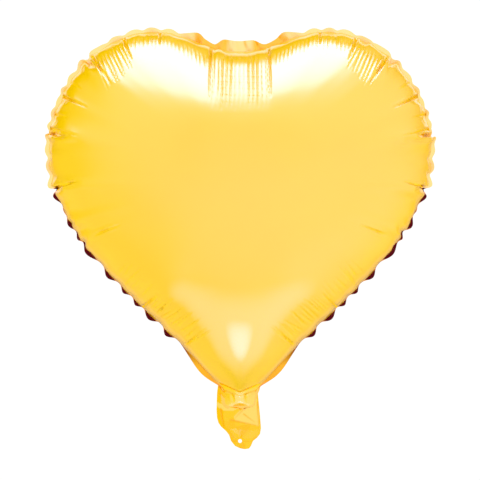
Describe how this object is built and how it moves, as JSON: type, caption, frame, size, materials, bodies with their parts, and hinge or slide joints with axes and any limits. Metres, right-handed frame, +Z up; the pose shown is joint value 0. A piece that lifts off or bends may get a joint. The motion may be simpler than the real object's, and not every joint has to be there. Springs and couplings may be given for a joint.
{
  "type": "heart foil balloon",
  "caption": "Inflated heart-shaped foil balloon of two welded film panels, with a self-sealing valve in its neck and a folding filling tail with a tie hole.",
  "frame": {"origin": "the neck tie point, in the middle of the throat between the heart's lower tip and the tail, on the plane of the weld", "axes": "+Z up along the heart's middle line, +X to the right across the heart, +Y to the back through its thickness"},
  "size_m": [0.389, 0.176, 0.4219],
  "materials": {
    "foil": "metallised film, glossy pearl yellow",
    "foil_weld": "metallised film, welded double, glossy",
    "valve_film": "thin clear polyethylene, slightly hazy",
    "release_ink": "printed heat-resistant ink, matt"
  },
  "bodies": {
    "heart": {"front_panel": "foil", "back_panel": "foil", "seam_flange": "foil_weld", "cleft_web": "foil_weld", "neck_front": "foil", "neck_back": "foil", "neck_weld_left": "foil_weld", "neck_weld_right": "foil_weld", "valve_front_film": "valve_film", "valve_back_film": "valve_film", "valve_edge_welds": "valve_film", "release_patch": "release_ink"},
    "tail": {"tail_front_ply": "foil", "tail_back_ply": "foil", "tail_weld_left": "foil_weld", "tail_weld_right": "foil_weld", "valve_inlet_front": "valve_film", "valve_inlet_back": "valve_film"},
    "end_tab": {"tab_front_ply": "foil", "tab_back_ply": "foil"}
  },
  "joints": [
    {"name": "neck_fold", "type": "hinge", "parent": "heart", "child": "tail", "pos_m": [0, 0, -0.014], "axis": [1, 0, 0], "range_deg": [-90, 90]},
    {"name": "tip_fold", "type": "hinge", "parent": "tail", "child": "end_tab", "pos_m": [0, 0, -0.038], "axis": [1, 0, 0], "range_deg": [-90, 90]}
  ]
}
